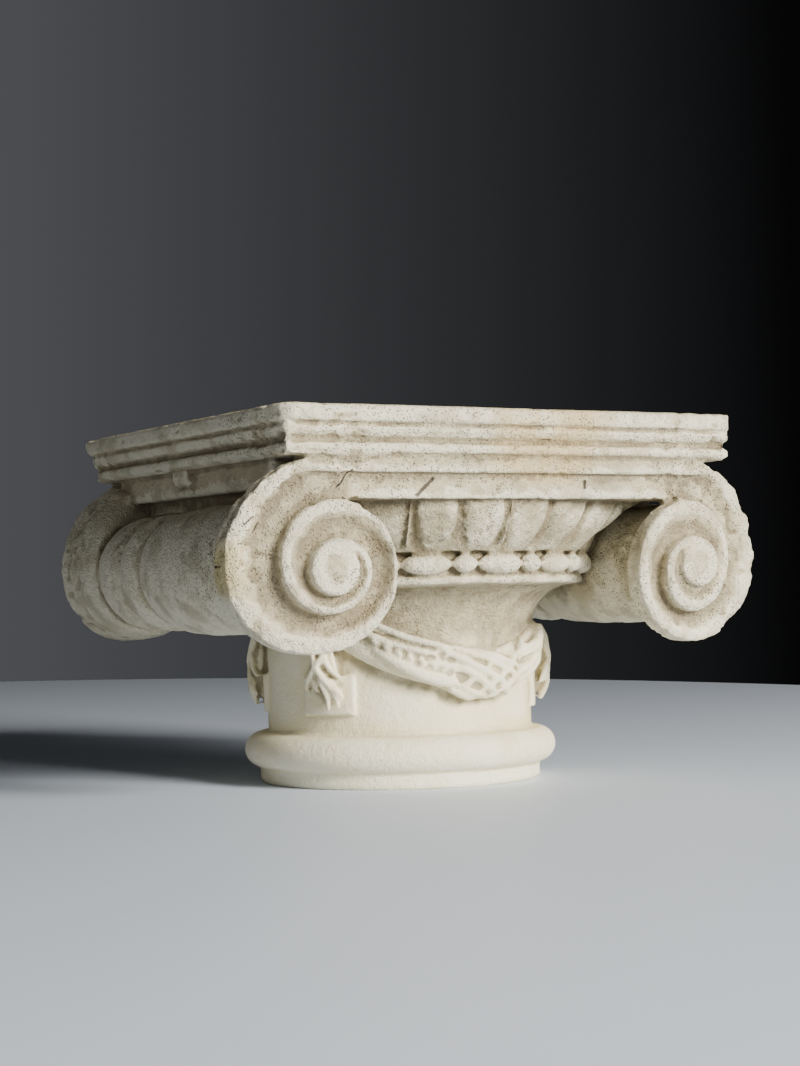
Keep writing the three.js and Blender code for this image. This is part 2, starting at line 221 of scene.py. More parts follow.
def abacusPlace(u, v, w):
    along = (v + 1) / 2 * edgeWalked[-1]
    inset = np.interp(along, edgeWalked, abacusEdge[:, 0])
    up = np.interp(along, edgeWalked, abacusEdge[:, 1])
    x, y = roundSquare((u + 1) / 2, inset, abacus["width"], abacus["depth"], abacus["corner"])
    return x, y, abacus["foot"] + up


parts.append(tube("abacus", 900, 110, abacusPlace))

# block between the volutes: sunk canalis, band, side walls and lugs

block = {"span": 79.3, "canalisIn": 7.5, "bandIn": 5.0, "wallX": 91.0, "wallHalf": 72.0, "wallFrom": 113.8}


def brick(name, x0, x1, y0, y1, z0, z1, soft=0.8):
    bpy.ops.mesh.primitive_cube_add(size=1)
    obj = bpy.context.object
    obj.name = name
    pushPoints(obj, lambda u, v, w: (x0 + (u + 0.5) * (x1 - x0), y0 + (v + 0.5) * (y1 - y0),
                                     z0 + (w + 0.5) * (z1 - z0)))
    bpy.ops.object.mode_set(mode="EDIT")
    bpy.ops.mesh.select_all(action="SELECT")
    bpy.ops.mesh.bevel(offset=soft * mm, segments=3, affect="EDGES")
    bpy.ops.object.mode_set(mode="OBJECT")
    return obj


span = block["span"]
canalisY = abacus["depth"] / 2 - block["canalisIn"]
bandY = abacus["depth"] / 2 - block["bandIn"]
parts.append(brick("canalis", -span - 3, span + 3, -canalisY, canalisY, 109.0, 120.0, 0.5))
parts.append(brick("band", -span - 3, span + 3, -bandY, bandY, 118.4, 125.0, 0.9))
parts.append(brick("sideWall", -block["wallX"], block["wallX"], -block["wallHalf"], block["wallHalf"],
                   block["wallFrom"], 125.0, 2.2))
parts.append(brick("lugUpper", -94, 94, -2.4, 11.6, 118.8, 125.0, 1.4))
parts.append(brick("lugLower", -93.6, 93.6, -2.2, 11.4, 113.6, 117.4, 1.4))

# volutes: one spiral relief on a leaning cone, with its rim and the roll behind it

volute = {"eyeX": 79.3, "eyeY": 98.0, "eyeZ": 83.7, "eye": 8.5, "backShare": 0.88,
          "faceShare": 0.62, "rimShare": 0.38, "frontRing": -66.0, "backRing": -57.0}
# by quarter turns from the top outwards: outer edge, width of the fillet, depth of the channel,
# and how soft the channel's near side is
leftWhorl = {"radii": [40.5, 38.0, 29.8, 26.6, 25.1, 19.4, 16.0, 15.2, 11.2, 10.1, 9.6, 9.4, 9.2],
             "widths": [5.7, 8.5, 8.5, 3.2, 4.6, 4.0, 5.0, 4.8, 6.0, 5.0, 5.0, 5.0, 5.0],
             "depths": [4.2, 5.8, 6.2, 5.4, 4.8, 4.6, 3.6, 2.6, 0.0, 0.0, 0.0, 0.0, 0.0],
             "slopes": [0.15, 0.5, 0.45, 0.3, 0.7, 0.95, 0.5, 0.5, 0.5, 0.5, 0.5, 0.5, 0.5]}
rightWhorl = {"radii": [40.5, 38.0, 29.8, 26.6, 25.1, 18.4, 18.4, 14.4, 11.2, 9.8, 8.6, 8.0, 8.0],
              "widths": [5.7, 8.0, 5.5, 5.0, 6.4, 4.6, 6.4, 4.8, 6.0, 5.0, 5.0, 5.0, 5.0],
              "depths": [4.2, 5.0, 5.8, 5.8, 3.8, 2.6, 2.4, 2.2, 0.0, 0.0, 0.0, 0.0, 0.0],
              "slopes": [0.15, 0.6, 0.9, 0.9, 0.8, 0.9, 0.5, 0.5, 0.5, 0.5, 0.5, 0.5, 0.5]}
bolster = {"x": 88.0, "z": 85.2, "half": 76,
           "along": [-76, -50, -20, -4, 4, 8, 11, 14, 17, 21, 25, 28, 31, 38, 46, 52, 56, 61, 76],
           "radius": [22.5, 24.3, 24.8, 24.3, 23.4, 21.8, 20.6, 22.2, 23.4, 23.6, 23.0, 20.8, 21.6,
                      23.4, 23.0, 21.4, 19.4, 20.4, 21.0]}


def voluteOutline(form, turn):
    # one turn of the outer edge; the last few degrees come back out to the start
    edge = eased(form["radii"], turn * 4)
    return edge + (form["radii"][0] - edge) * smooth(0.955, 0.995, turn)


def voluteRelief(form, turn, radius):
    # how far the carving lies behind the cone of the face
    back = np.zeros_like(radius)
    for lap in (-1, 0, 1, 2):
        turns = np.maximum(turn + lap, 0) * 4
        outer = eased(form["radii"], turns) if lap >= 0 else np.full_like(radius, form["radii"][0])
        inward = eased(form["radii"], turns + 4) if lap >= 0 else eased(form["radii"], turn * 4)
        width, depth, slope = (eased(form[key], turns) for key in ("widths", "depths", "slopes"))
        into = outer - radius
        crest = 0.42 * width
        room = np.maximum(outer - width - inward, 0.3)
        outside = 0.7 * np.clip(1 - into / crest, 0, 1) ** 2
        fall = smooth(0, 1, (into - crest) / (width - crest + slope * room))
        here = np.where(into < crest, outside, depth * fall)
        back = np.where((radius <= outer) & (radius > inward), here, back)
    eyeEdge = eased(form["radii"], np.maximum(turn, 0) * 4 + 8)
    within = np.clip(radius / eyeEdge, 0, 1)
    crown = -0.9 * (1 - within**6) + 0.25 * np.exp(-((radius - 4) / 2.2) ** 2)
    return np.where(radius <= eyeEdge, crown, back)


def bolsterRadius(y):
    return np.interp(y, bolster["along"], bolster["radius"])


def volutePlace(side, end):
    # side is -1 on the left and 1 on the right, end is -1 at the front and 1 at the back
    def place(u, v, w):
        turn = (u + 1) / 2
        angle = turn * 2 * np.pi
        form = leftWhorl if side < 0 else rightWhorl
        outline = voluteOutline(form, turn)
        run = (v + 1) / 2
        share = np.clip(run / volute["faceShare"], 0, 1)
        onFace = run <= volute["faceShare"]
        radius = share * outline
        # past the face: rim straight back, then in towards the roll
        rest = np.clip((run - volute["faceShare"]) / volute["rimShare"], 0, 1)
        steps = [0, 0.06, 0.12, 0.4, 0.62, 1.0]
        if end < 0:
            inset = np.interp(rest, steps, [0, 0.15, 0, 0, 6.3, 14.0])
            behind = np.interp(rest, steps, [0.5, 1.1, 2.2, 9.0, 12.6, 24.0])
        else:
            inset = np.interp(rest, steps, [0, 0.15, 0, 1.2, 3.0, 10.0])
            behind = np.interp(rest, steps, [0.5, 1.1, 2.2, 24.0, 32.0, 37.0])
        radius = np.where(onFace, radius, outline - inset)
        back = np.where(onFace, voluteRelief(form, turn, radius), behind)
        slope = 0.28 + 0.15 * np.sin(angle) - 0.12 * np.cos(angle)
        fall = slope * np.maximum(radius - volute["eye"], 0)
        x = volute["eyeX"] + radius * np.sin(angle)
        z = volute["eyeZ"] + radius * np.cos(angle)
        y = fall + back - volute["eyeY"]
        # beside the block the face runs level with the band and the canalis
        level = -canalisY - (bandY - canalisY) * smooth(118.0, 118.9, z)
        beside = np.maximum(smooth(0.06, 0.0, turn), smooth(0.93, 0.96, turn)) * smooth(26.0, 28.5, radius)
        y = np.where(onFace, y + (level - y) * beside, y)
        # the last stretch meets the bolster's ring
        meet = smooth(0.72, 1.0, rest)
        ringY = volute["frontRing"] if end < 0 else volute["backRing"]
        ring = bolsterRadius(np.full_like(u, ringY * -end))
        x = x + (bolster["x"] + ring * np.sin(angle) - x) * meet
        z = z + (bolster["z"] + ring * np.cos(angle) - z) * meet
        y = y + (ringY - y) * meet
        if end > 0:
            # the back volutes are smaller, except where they meet the band
            out, up = x - volute["eyeX"], z - volute["eyeZ"]
            share = np.maximum(up, 0) ** 4 / np.maximum(np.hypot(out, up), volute["eye"]) ** 4
            share = volute["backShare"] + (1 - volute["backShare"]) * share
            x, z = volute["eyeX"] + out * share, volute["eyeZ"] + up * share
        return side * x, -end * y, z
    return place


for side in (-1, 1):
    for end in (-1, 1):
        parts.append(tube("volute", 260, 170, volutePlace(side, end)))


def bolsterPlace(side):
    def place(u, v, w):
        y = v * bolster["half"]
        angle = u * np.pi
        radius = bolsterRadius(y)
        return side * (bolster["x"] + radius * np.sin(angle)), y, bolster["z"] + radius * np.cos(angle)
    return place


for side in (-1, 1):
    parts.append(tube("bolster", 160, 200, bolsterPlace(side)))
print("volutes and bolsters placed")

# egg band: each egg with its own width, fullness and lean

eggs = [{"from": -51.5, "to": -39.0, "proud": 3.6, "lean": 0.0, "hollow": 0.2},
        {"from": -39.0, "to": -25.6, "proud": 3.2, "lean": 0.0, "hollow": 0.4},
        {"from": -25.6, "to": -13.2, "proud": 4.0, "lean": 0.0, "hollow": 0.0},
        {"from": -13.2, "to": 0.0, "proud": 3.4, "lean": 0.6, "hollow": 0.3},
        {"from": 0.0, "to": 13.4, "proud": 3.5, "lean": 1.6, "hollow": 0.9},
        {"from": 13.4, "to": 26.8, "proud": 3.4, "lean": 1.6, "hollow": 0.4},
        {"from": 26.8, "to": 39.2, "proud": 3.7, "lean": 1.4, "hollow": 0.0},
        {"from": 39.2, "to": 53.5, "proud": 3.9, "lean": 0.0, "hollow": 0.3}]

eggBand = {"reach": 53.5, "gap": 0.55, "bed": 0.3, "root": 3, "darts": (-25.9, 0.3), "dartProud": 4.0,
           "spread": 14, "climb": 13, "from": -0.2, "height": 19.9}


def eggPlace(turned):
    def place(u, v, w):
        angle = u * eggBand["reach"]
        share = (v + 1) / 2
        relief = np.full_like(u, eggBand["bed"])
        for egg in eggs:
            middle = (egg["from"] + egg["to"]) / 2 - egg["lean"] * (1 - share) ** 1.5
            half = (egg["to"] - egg["from"]) / 2 - eggBand["gap"]
            half = half * (1 - 0.55 * np.clip(1 - share * 1.35, 0, 1) ** 2.2)
            x = np.clip(np.abs(angle - middle) / half, 0, 1)
            full = np.clip(1 - np.clip(1 - share * 1.5, 0, 1) ** 2.4, 0, 1) ** 0.6
            body = (1 - x**5) ** 0.6 - egg["hollow"] * 0.35 * (1 - x * x) * smooth(0.2, 0.8, share)
            relief = np.maximum(relief, egg["proud"] * full * body)
        for at in eggBand["darts"]:
            # thin darts left standing beside two of the eggs
            ridge = np.exp(-(((angle - at + 1.2 * (1 - share)) / 0.55) ** 2))
            relief = np.maximum(relief, eggBand["dartProud"] * ridge * smooth(0.02, 0.25, share))
        spread = eggBand["spread"] * (angle / 52.8) ** 2
        ends = smooth(eggBand["reach"], 51.5, np.abs(angle))
        front = eggBed(share) + relief * ends + spread * share
        # towards the volutes the lower edge climbs
        climb = eggBand["climb"] * smooth(36.0, 54.0, np.abs(angle)) * (1 - share)
        radius = np.where(w > 0.5, front, eggBed(share) - eggBand["root"])
        height = core["eggFrom"] + eggBand["from"] + eggBand["height"] * share + climb
        return onDrum(angle + turned, radius, height)
    return place


parts.append(slab("eggsFront", 640, 70, eggPlace(0)))
parts.append(slab("eggsBack", 420, 50, eggPlace(180)))

# bead and reel

beads = {"phase": 1.3, "pitch": 11.25, "longHalf": 9.9, "smallHalf": 5.1, "half": 3.9, "centre": 76.3,
         "height": 85.5, "longTall": 4.1, "smallTall": 3.8}
for face in (0, 180):
    for number in range(-4, 5):
        long = number % 2 == 0
        bpy.ops.mesh.primitive_uv_sphere_add(segments=40, ring_count=26, radius=1)
        bead = bpy.context.object
        bead.name = "bead"
        half = beads["longHalf"] if long else beads["smallHalf"]
        middle = face + beads["phase"] + number * beads["pitch"]

        def beadPlace(u, v, w, half=half, middle=middle, long=long):
            along = np.sign(u) * np.abs(u) ** (0.85 if long else 1)
            turn = middle + np.degrees(along * half / beads["centre"])
            tall = beads["longTall"] if long else beads["smallTall"]
            return onDrum(turn, beads["centre"] - v * beads["half"], beads["height"] + w * tall)
        pushPoints(bead, beadPlace)
        parts.append(bead)
print("eggs and beads placed")


# garlands: strands, ribbons and leaves laid over a roll

def strand(name, path, half, thick, ends=0.5, crease=0.0, turned=0, steps=36):
    # path is a list of (angle, height, stand-off) on the neck; half and thick in mm
    angles, heights, offs = (np.array(axis, dtype=float) for axis in zip(*path))

    def place(u, v, w):
        run = (v + 1) / 2
        at = run * (len(path) - 1)
        s = np.radians(eased(angles, at)) * core["neck"]
        z = eased(heights, at)
        ahead = np.minimum(at + 0.02, len(path) - 1)
        astern = np.maximum(at - 0.02, 0)
        ds = np.radians(eased(angles, ahead) - eased(angles, astern)) * core["neck"]
        dz = eased(heights, ahead) - eased(heights, astern)
        length = np.hypot(ds, dz)
        ds, dz = ds / length, dz / length
        taper = np.clip(1 - np.abs(2 * run - 1) ** (2 + 2 * ends), 0, 1) ** ends
        turn = u * np.pi
        side = half * taper * np.cos(turn)
        fold = 1 - crease * np.exp(-((np.cos(turn) / 0.25) ** 2))
        out = eased(offs, at) + thick * taper * np.sin(turn) * fold
        return onDrum(turned + np.degrees((s - dz * side) / core["neck"]), core["neck"] + out, z + ds * side)
    parts.append(tube(name, 16, steps, place))


festoon = {"roll": [(-62, 64, 1.2), (-48, 58, 1.4), (-32, 51.4, 2.2), (-16, 46.6, 2.8), (0, 42.6, 3.0),
                    (16, 45, 2.8), (32, 50.4, 2.2), (48, 56, 1.4), (62, 60, 1.2)],
           "pad": [(-18, 49.6, 1.4), (-6, 44.6, 3.0), (6, 43.0, 3.4), (18, 45.4, 3.0), (31, 53.0, 1.4)],
           "upperRibbons": [[(-50, 69, 4.0), (-38, 63.4, 6.4), (-28, 58.8, 7.4), (-18, 55.8, 7.2),
                             (-9, 53.6, 5.6)],
                            [(-52, 64.6, 4.0), (-40, 59.4, 6.0), (-29, 55.0, 7.2), (-20, 52.4, 7.0),
                             (-12, 50.8, 5.4)]],
           "lowerRibbon": [(-42, 57.5, 4.0), (-32, 50.4, 5.6), (-23, 44.8, 6.6), (-15, 41.8, 7.2),
                           (-7.5, 40.6, 6.6)],
           "lumps": [(-38, 57.4), (-33.6, 54.6), (-29.4, 52.2), (-25.2, 50.4), (-21, 48.8), (-17, 47.6),
                     (-13, 46.6), (-9.4, 46.2)],
           "crossing": [([(-17, 54.8, 5), (-6, 49.4, 7.6), (6, 42.8, 8.4), (18, 37.0, 5)], 1.55),
                        ([(-10, 54.4, 5), (2, 50.2, 7.4), (13, 44.8, 8.2), (25, 39.8, 5)], 1.5),
                        ([(-3, 53.2, 4.6), (7, 50.6, 7.0), (16, 47.0, 7.4), (25, 44.4, 5)], 1.3),
                        ([(-13, 49.6, 5), (-4, 44.6, 8.0), (4, 39.2, 7.8), (11, 34.4, 4.6)], 1.5),
                        ([(-11, 36.4, 4.2), (-3, 41.2, 7.4), (5, 47.2, 7.4), (12, 53.2, 4.8)], 1.4),
                        ([(-4, 33.8, 4.4), (5, 39.6, 7.6), (14, 45.8, 7.6), (22, 52.6, 4.8)], 1.5),
                        ([(4, 33.6, 4.2), (12, 38.2, 7.0), (21, 44.2, 7.2), (30, 51.2, 5)], 1.5),
                        ([(-9, 40, 5), (-2, 36.6, 6.6), (5, 34.8, 4.6)], 1.4),
                        ([(-12, 38.6, 4.6), (-6, 35.6, 6.0), (0, 34.0, 4.4)], 1.3)],
           "leaves": [([(12, 39.4, 4.4), (22, 42.4, 7.2), (33, 48.0, 7.0), (46, 55, 4)], 3.0),
                      ([(16, 48, 5), (27, 52.4, 7.6), (38, 55.4, 6.4), (49, 60.5, 4)], 2.6),
                      ([(24, 45.6, 4.4), (33, 53.2, 7.4), (42, 57.0, 6.0), (52, 61.5, 3.6)], 1.9),
                      ([(30, 45.4, 4.0), (38, 52.0, 6.0), (47, 55.6, 4.6), (56, 60.0, 3.4)], 1.7)]}
tails = {"cords": [[(-5.6, 62, 4), (-3.8, 56, 6.0), (-1, 47, 7.0), (4.8, 39, 6.6), (7.6, 30.2, 4.4)],
                   [(4.8, 62, 4), (3.4, 56, 5.6), (-0.6, 48, 7.2), (-6.0, 42, 5.8), (-8.6, 37, 3.8)],
                   [(0.2, 61, 4), (0.6, 55, 6.0), (3.8, 47, 5.8), (8.6, 42.4, 4.2)],
                   [(-2.2, 47, 5), (0.8, 41, 6.6), (3.0, 35.4, 6.0), (2.2, 30.0, 4.0)],
                   [(3, 43, 5), (6.6, 38.6, 6.4), (9.4, 34.6, 4.4)],
                   [(-4, 44.4, 4.6), (-2.4, 40.4, 5.8), (-3.2, 36.8, 3.8)]],
         "bed": [(-3, 62, 1.6), (0, 50, 2.6), (2, 42, 2.6), (4.4, 33, 1.8)]}
scattered = {"seed": 11, "count": 34, "from": -15, "to": 27}
tablet = {"half": 12.2, "proud": 2.0, "thick": 4.0, "middle": 36.1, "tall": 7.6}
for face in (0, 180):
    strand("festoonRoll", festoon["roll"], 7.4, 4.6, 0.35, turned=face, steps=90)
    strand("festoonPad", festoon["pad"], 9.6, 5.2, 0.5, turned=face, steps=50)
    for path in festoon["upperRibbons"]:
        strand("ribbon", path, 1.6, 2.2, 0.4, turned=face)
    strand("ribbonRoll", festoon["lowerRibbon"], 3.0, 3.0, 0.35, turned=face)
    for at, height in festoon["lumps"]:
        path = [(at - 2.2, height + 2.6, 5.4), (at, height, 7.2), (at + 1.6, height - 2.8, 5.2)]
        strand("lump", path, 1.35, 2.2, 0.5, turned=face, steps=14)
    for path, half in festoon["crossing"]:
        strand("strand", path, half * 1.18, 2.3, 0.45, turned=face)
    for path, half in festoon["leaves"]:
        strand("leaf", path, half, 2.6, 0.6, crease=0.5, turned=face)
    # small leaves thrown over the middle of the swag
    scatter = random.Random(scattered["seed"])
    for _ in range(scattered["count"]):
        at = scatter.uniform(scattered["from"], scattered["to"])
        height = 43.6 + 0.011 * (at - 4) ** 2 + scatter.uniform(-8.0, 8.0)
        lean = math.radians(scatter.choice((-38, -28, 40, 62)) + scatter.uniform(-14, 14))
        reach = scatter.uniform(2.2, 4.0)
        ds, dz = math.degrees(reach * math.cos(lean) / core["neck"]), reach * math.sin(lean)
        rise = scatter.uniform(6.0, 7.6)
        path = [(at - ds, height - dz, rise - 1.4), (at, height, rise), (at + ds, height + dz, rise - 1.8)]
        strand("smallLeaf", path, scatter.uniform(1.1, 1.6), 2.1, 0.55, turned=face, steps=14)
    # tails of cord on their tablets
    for tail in (-60, 60):
        turned = face + tail
        for path in tails["cords"]:
            strand("cord", path, 1.35, 1.9, 0.4, turned=turned, steps=28)
        strand("cordBed", tails["bed"], 4.4, 2.2, 0.5, turned=turned, steps=24)

        def tabletPlace(u, v, w, turned=turned):
            radius = core["neck"] - tablet["proud"] + tablet["thick"] * w
            return onDrum(turned + u * tablet["half"], radius, tablet["middle"] + tablet["tall"] * v)
        parts.append(slab("tablet", 16, 12, tabletPlace))
print("garlands hung")

# one skin over everything

bpy.ops.object.select_all(action="DESELECT")
for obj in parts:
    obj.select_set(True)
bpy.context.view_layer.objects.active = parts[0]
bpy.ops.object.join()
cast = bpy.context.object
cast.name = "capitalCast"
cast.data.name = "capitalCast"

skin = {"voxel": 0.62, "quickVoxel": 1.1, "rubs": 8, "quickRubs": 4, "triangles": 195000, "top": 142.4}
remesh = cast.modifiers.new("skin", "REMESH")
remesh.mode = "VOXEL"
remesh.voxel_size = skin["voxel"] * mm
bpy.ops.object.modifier_apply(modifier=remesh.name)
print("skin points", len(cast.data.vertices))


def meshArrays(mesh):
    points = np.empty(len(mesh.vertices) * 3, dtype=np.float32)
    mesh.vertices.foreach_get("co", points)
    edges = np.empty(len(mesh.edges) * 2, dtype=np.int32)
    mesh.edges.foreach_get("vertices", edges)
    normals = np.empty(len(mesh.vertices) * 3, dtype=np.float32)
    mesh.vertices.foreach_get("normal", normals)
    return points.reshape(-1, 3).astype(float) / mm, edges.reshape(-1, 2), normals.reshape(-1, 3).astype(float)


def relaxed(values, edges, times):
    # mean of the neighbours, repeated
    count = len(values)
    links = np.bincount(edges.ravel(), minlength=count).astype(float)
    for _ in range(times):
        sums = [np.bincount(edges[:, 0], values[edges[:, 1], k], count)
                + np.bincount(edges[:, 1], values[edges[:, 0], k], count) for k in range(values.shape[1])]
        total = np.stack(sums, axis=1)
        values = total / links[:, None]
    return values


# wear: edges rubbed down, rims knocked, surface slightly uneven; depths in mm
wear = {"knocks": 0.6, "nibbles": 0.5, "pocks": 0.4, "waves": 0.2, "dents": 0.16, "grains": 0.14,
        "shrink": 0.3, "corner": 5.6}
points, edges, normals = meshArrays(cast.data)
x, y, z = points.T
soft = relaxed(points, edges, skin["rubs"])
hollow = np.sum((soft - points) * normals, axis=1)
patchy = blobs(points, 9, 1) + 0.6 * blobs(points, 3, 2)
low = smooth(22, 30, z)
edgeWear = smooth(0.1, 0.6, -hollow) * smooth(-0.4, 0.7, patchy) * (0.3 + 0.7 * low)
points = points + (soft - points) * edgeWear[:, None]
eyeAway = np.hypot(np.abs(x) - volute["eyeX"], z - volute["eyeZ"])
onVolute = smooth(-62, -70, y) + smooth(62, 70, y)
rim = onVolute * smooth(19, 27, eyeAway) * smooth(60, 66, np.abs(x))
drum = smooth(22, 24, z) * smooth(56, 50, z) * smooth(56, 54.4, np.hypot(x, y))
knocks = -wear["knocks"] * smooth(0.15, 0.9, blobs(points, 7, 6)) * rim
knocks = knocks - wear["nibbles"] * smooth(0.1, 0.7, blobs(points, 3.2, 7)) * rim
pocked = wear["pocks"] * smooth(0.25, 0.75, blobs(points, 1.7, 12)) * smooth(70, 76, z)
knocks = knocks - pocked * smooth(0.0, 0.5, blobs(points, 16, 13))
uneven = wear["waves"] * blobs(points, 13, 3) + wear["dents"] * blobs(points, 5, 4)
uneven = uneven + wear["grains"] * blobs(points, 2.0, 5) - wear["shrink"]
uneven = uneven * (0.3 + 0.7 * low) * (1 - 0.75 * drum) * (1 - 0.55 * smooth(117, 119, z))
points = points + normals * (uneven + knocks)[:, None]

# chips: centre, reach and depth of each, pushed in towards the middle of the capital
chips = [((-118.5, -86, 87), 7.0, 1.3), ((-117, -84, 79), 5.0, 0.9), ((-100, -98, 141), 7.0, 1.6),
         ((-100, 98, 127), 15.0, 5.5), ((-100, 98, 142), 10.0, 2.6), ((100, -98, 142), 8.0, 2.0),
         ((-60, -98, 143), 5.0, 0.8), ((-84, -98, 142.5), 6.0, 1.0), ((-101, -60, 142), 8.0, 0.9),
         ((-101, 20, 142), 9.0, 1.0), ((114, -84, 95), 7.0, 1.6), ((109, -86, 106), 8.0, 1.8),
         ((104, -84, 62), 7.0, 1.6), ((52, -30, 5), 9.0, 1.6), ((40, -41, 3), 7.0, 1.2)]
for middle, reach, deep in chips:
    away = points - np.array(middle, dtype=float)
    bite = np.clip(1 - np.linalg.norm(away * (1, 0.8, 1), axis=1) / reach, 0, 1) ** 0.7
    bite = bite * (1 + 0.25 * blobs(points, 3.5, 8))
    inward = -np.array(middle, dtype=float) * (1, 0.7, 0)
    inward = inward / np.linalg.norm(inward)
    points = points + (deep * np.clip(bite, 0, 1.2))[:, None] * inward
# corners of the abacus, worn round
corner = (100 - np.abs(points[:, 0])) + (98 - np.abs(points[:, 1]))
worn = np.clip(wear["corner"] + 1.2 * blobs(points, 5, 9) + 0.08 * (points[:, 2] - 133) - corner, 0, 8)
worn = worn * smooth(124, 126, points[:, 2]) * 0.5
points[:, 0] -= np.sign(points[:, 0]) * worn
points[:, 1] -= np.sign(points[:, 1]) * worn
# flat faces stay flat where the part stands and where it carries
flatFoot = points[:, 2] < 0.45
flatTop = (points[:, 2] > 141.6) & (np.maximum(np.abs(points[:, 0]) / 100, np.abs(points[:, 1]) / 98) < 0.94)
points[flatFoot, 2] = 0
points[flatTop, 2] = 142.35
points[:, 2] = np.minimum(points[:, 2], skin["top"])
cast.data.vertices.foreach_set("co", (points * mm).astype(np.float32).ravel())
cast.data.update()

thin = cast.modifiers.new("thin", "DECIMATE")
cast.data.calc_loop_triangles()
thin.ratio = min(1.0, skin["triangles"] / len(cast.data.loop_triangles))
bpy.ops.object.modifier_apply(modifier=thin.name)
cast.data.validate()

# hollows and edges of the finished skin, for the dirt and painted shade in the hollows and the partly painted
# highlight on the ridges
points, edges, normals = meshArrays(cast.data)
fine = np.sum((relaxed(points, edges, 3) - points) * normals, axis=1)
broad = np.sum((relaxed(points, edges, 24) - points) * normals, axis=1)
hollowness = relaxed((0.8 * fine / 0.25 + 0.4 * broad / 1.2)[:, None], edges, 1)[:, 0]
hollowness[(points[:, 2] > 141.9) | (points[:, 2] < 0.3)] = 0
cavity = cast.data.attributes.new("cavity", "FLOAT", "POINT")
cavity.data.foreach_set("value", np.clip(0.5 + 0.5 * hollowness, 0, 1).astype(np.float32))
bpy.ops.object.select_all(action="DESELECT")
cast.select_set(True)
bpy.context.view_layer.objects.active = cast
bpy.ops.object.shade_smooth()
print("skin triangles", len(cast.data.polygons))

# plaster

aged = {"roughness": 0.82, "specular": 0.3, "drum": (0.90, 0.83, 0.58), "above": (0.62, 0.55, 0.37),
        "warm": (0.66, 0.52, 0.33), "ochre": (0.78, 0.66, 0.36), "grey": (0.42, 0.375, 0.27),
        "rubbedAndHighlit": (0.93, 0.87, 0.68), "peach": (0.70, 0.53, 0.27), "yellow": (0.74, 0.58, 0.22),
        "eggs": (0.33, 0.285, 0.18), "grimeAndShade": (0.20, 0.155, 0.09), "speck": (0.15, 0.115, 0.07),
        "crack": (0.05, 0.04, 0.03), "pitScale": 950, "bump": 0.002}
plaster = bpy.data.materials.new("agedPlaster")
plaster.use_nodes = True
tree = plaster.node_tree
shader = tree.nodes["Principled BSDF"]
shader.inputs["Roughness"].default_value = aged["roughness"]
shader.inputs["Specular IOR Level"].default_value = aged["specular"]
coords = tree.nodes.new("ShaderNodeTexCoord")
hollows = tree.nodes.new("ShaderNodeAttribute")
hollows.attribute_name = "cavity"


def noiseNode(scale, detail, rough=0.6):
    node = tree.nodes.new("ShaderNodeTexNoise")
    node.inputs["Scale"].default_value = scale
    node.inputs["Detail"].default_value = detail
    node.inputs["Roughness"].default_value = rough
    tree.links.new(coords.outputs["Object"], node.inputs["Vector"])
    return node.outputs["Fac"]


def rangeNode(value, low, high, toLow=0.0, toHigh=1.0):
    node = tree.nodes.new("ShaderNodeMapRange")
    node.interpolation_type = "SMOOTHSTEP"
    tree.links.new(value, node.inputs["Value"])
    for socket, number in (("From Min", low), ("From Max", high), ("To Min", toLow), ("To Max", toHigh)):
        node.inputs[socket].default_value = number
    return node.outputs["Result"]


def maths(kind, a, b):
    node = tree.nodes.new("ShaderNodeMath")
    node.operation = kind
    for socket, value in zip(node.inputs, (a, b)):
        if isinstance(value, (int, float)):
            socket.default_value = value
        else:
            tree.links.new(value, socket)
    return node.outputs["Value"]


def tint(under, colour, amount):
    node = tree.nodes.new("ShaderNodeMix")
    node.data_type = "RGBA"
    if isinstance(under, tuple):
        node.inputs["A"].default_value = (*under, 1)
    else:
        tree.links.new(under, node.inputs["A"])
    node.inputs["B"].default_value = (*colour, 1)
    tree.links.new(amount, node.inputs["Factor"])
    return node.outputs["Result"]


place = tree.nodes.new("ShaderNodeSeparateXYZ")
tree.links.new(coords.outputs["Object"], place.inputs["Vector"])
height = place.outputs["Z"]
# sunk picks the hollows, for dirt with painted shade in them
sunk = rangeNode(hollows.outputs["Fac"], 0.54, 0.88)
# raised picks the ridges, for rubbed wear with painted highlight on them
raised = rangeNode(hollows.outputs["Fac"], 0.46, 0.2)
upper = rangeNode(maths("ADD", height, maths("MULTIPLY", noiseNode(60, 3), 0.012)), 0.054, 0.072)
front = rangeNode(place.outputs["Y"], -0.055, -0.075)


def crack(x0, z0, x1, z1, half):
    # a dark line on the front, between two places in mm
    run = math.hypot(x1 - x0, z1 - z0)
    ux, uz = (x1 - x0) / run, (z1 - z0) / run
    x = maths("ADD", place.outputs["X"], maths("MULTIPLY", noiseNode(500, 2), 0.0012))
    fromX = maths("SUBTRACT", x, (x0 + x1) / 2 * mm + 0.0006)
    fromZ = maths("SUBTRACT", height, (z0 + z1) / 2 * mm)
    along = maths("ADD", maths("MULTIPLY", fromX, ux), maths("MULTIPLY", fromZ, uz))
    aside = maths("SUBTRACT", maths("MULTIPLY", fromX, uz), maths("MULTIPLY", fromZ, ux))
    line = rangeNode(maths("ABSOLUTE", aside, 0), half * mm, half * 0.3 * mm)
    ends = rangeNode(maths("ABSOLUTE", along, 0), run / 2 * mm, run * 0.38 * mm)
    return maths("MULTIPLY", maths("MULTIPLY", line, ends), front)


marks = [(-43, 109.5, -34.5, 117, 0.75), (-75.5, 112.5, -69.5, 119.5, 0.4), (31.3, 112.8, 31.8, 116.4, 0.7),
         (-119.6, 87.2, -116.4, 85.4, 0.5), (-111, 99.5, -106.5, 103, 0.35), (-106.5, 97, -104, 101, 0.3)]
cracks = 0
for x0, z0, x1, z1, half in marks:
    cracks = maths("MAXIMUM", cracks, crack(x0, z0, x1, z1, half))
